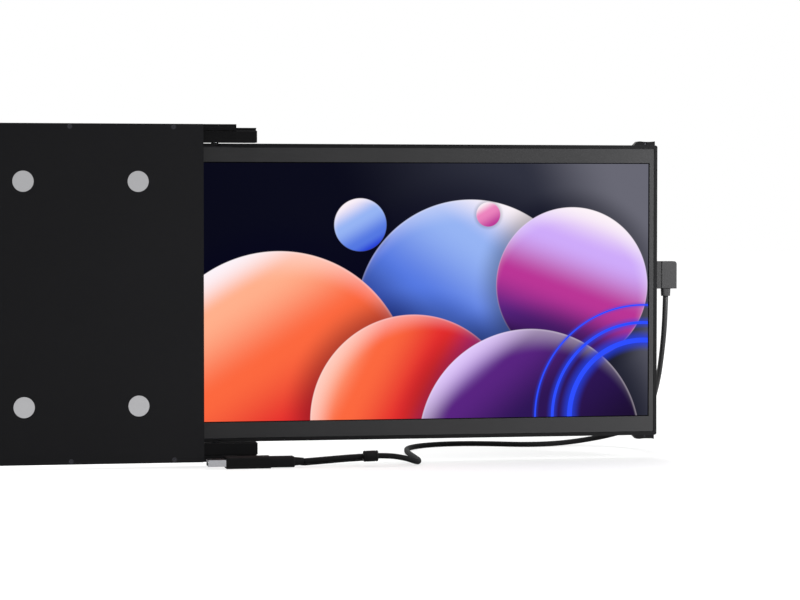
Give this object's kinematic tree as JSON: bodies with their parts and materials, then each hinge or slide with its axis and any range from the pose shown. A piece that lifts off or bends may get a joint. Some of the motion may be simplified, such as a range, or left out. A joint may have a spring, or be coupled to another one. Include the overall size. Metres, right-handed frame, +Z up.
{
  "type": "laptop screen extender",
  "caption": "Portable monitor that slides out of T-slot rails behind a laptop lid and swivels on pins, with a USB-C cord, an angled plug and a tethered adapter.",
  "frame": {"origin": "centre of the slide plate's front face, which is held against the back of a laptop lid", "axes": "+X right along the rails, the way the monitor slides out; +Y away from the user; +Z up"},
  "size_m": [0.6508, 0.1426, 0.2308],
  "materials": {
    "plate_black": "fine spark-eroded black",
    "magnet_steel": "nickel plated",
    "felt_grey": "short felt",
    "rail_black": "black anodised, fine brushed",
    "cap_black": "moulded black",
    "screw_black": "black zinc",
    "slider_black": "satin black",
    "steel": "satin",
    "bushing_polymer": "moulded sliding polymer",
    "case_black": "black anodised, fine blasted",
    "bezel_grey": "fine matt dark grey",
    "tape_black": "foam tape",
    "display_glass": "lit display behind polished glass",
    "guide_clear": "clear acrylic",
    "led_white": "white strip",
    "flex_amber": "polyimide",
    "board_green": "solder mask",
    "chip_black": "moulded epoxy",
    "port_steel": "drawn steel",
    "key_black": "moulded black",
    "bumper_rubber": "black rubber",
    "plug_grey": "moulded dark grey",
    "cord_black": "black jacket"
  },
  "bodies": {
    "housing": {"front_plate": "plate_black", "lid_magnets": "magnet_steel", "felt_pads": "felt_grey", "top_rail": "rail_black", "bottom_rail": "rail_black", "end_cap": "cap_black", "plate_screws": "screw_black", "cap_screws": "screw_black", "stop_pins": "steel"},
    "carriage": {"top_slider": "slider_black", "bottom_slider": "slider_black", "hinge_pins": "steel", "cable": "cord_black", "cable_collar": "cord_black", "tether_strap": "cord_black", "host_plug": "cord_black", "host_plug_shell": "port_steel", "host_plug_relief": "cord_black", "usb_a_adapter": "cord_black", "adapter_shell": "port_steel"},
    "monitor": {"friction_washers": "screw_black", "hinge_bushings": "bushing_polymer", "hinge_brackets": "screw_black", "rear_screws": "screw_black", "rear_cover": "case_black", "front_bezel": "bezel_grey", "bezel_tape": "tape_black", "lcd_panel": "display_glass", "light_guide": "guide_clear", "backlight_strip": "led_white", "panel_tray": "steel", "display_flex": "flex_amber", "driver_board": "board_green", "board_components": "chip_black", "board_screws": "steel", "usb_c_ports": "port_steel", "key_board": "board_green", "tact_switches": "chip_black", "corner_bumpers": "bumper_rubber", "bumper_pins": "screw_black", "usb_c_plug": "plug_grey", "usb_c_shell": "port_steel", "plug_relief": "cord_black"},
    "power_button": {"power_key": "key_black"},
    "brightness_down_button": {"brightness_down_key": "key_black"},
    "brightness_up_button": {"brightness_up_key": "key_black"}
  },
  "joints": [
    {"name": "rail_slide", "type": "slide", "parent": "housing", "child": "carriage", "axis": [1, 0, 0], "range_m": [-0.3, 0]},
    {"name": "monitor_swivel", "type": "hinge", "parent": "carriage", "child": "monitor", "pos_m": [0.16675, 0.013, 0], "axis": [0, 0, -1], "range_deg": [-20, 90], "deforming": ["cable"]},
    {"name": "power_press", "type": "slide", "parent": "monitor", "child": "power_button", "axis": [0, -1, 0], "range_m": [0, 0.0006], "stiffness_N_per_m": 2000},
    {"name": "brightness_down_press", "type": "slide", "parent": "monitor", "child": "brightness_down_button", "axis": [0, -1, 0], "range_m": [0, 0.0006], "stiffness_N_per_m": 2000},
    {"name": "brightness_up_press", "type": "slide", "parent": "monitor", "child": "brightness_up_button", "axis": [0, -1, 0], "range_m": [0, 0.0006], "stiffness_N_per_m": 2000}
  ]
}
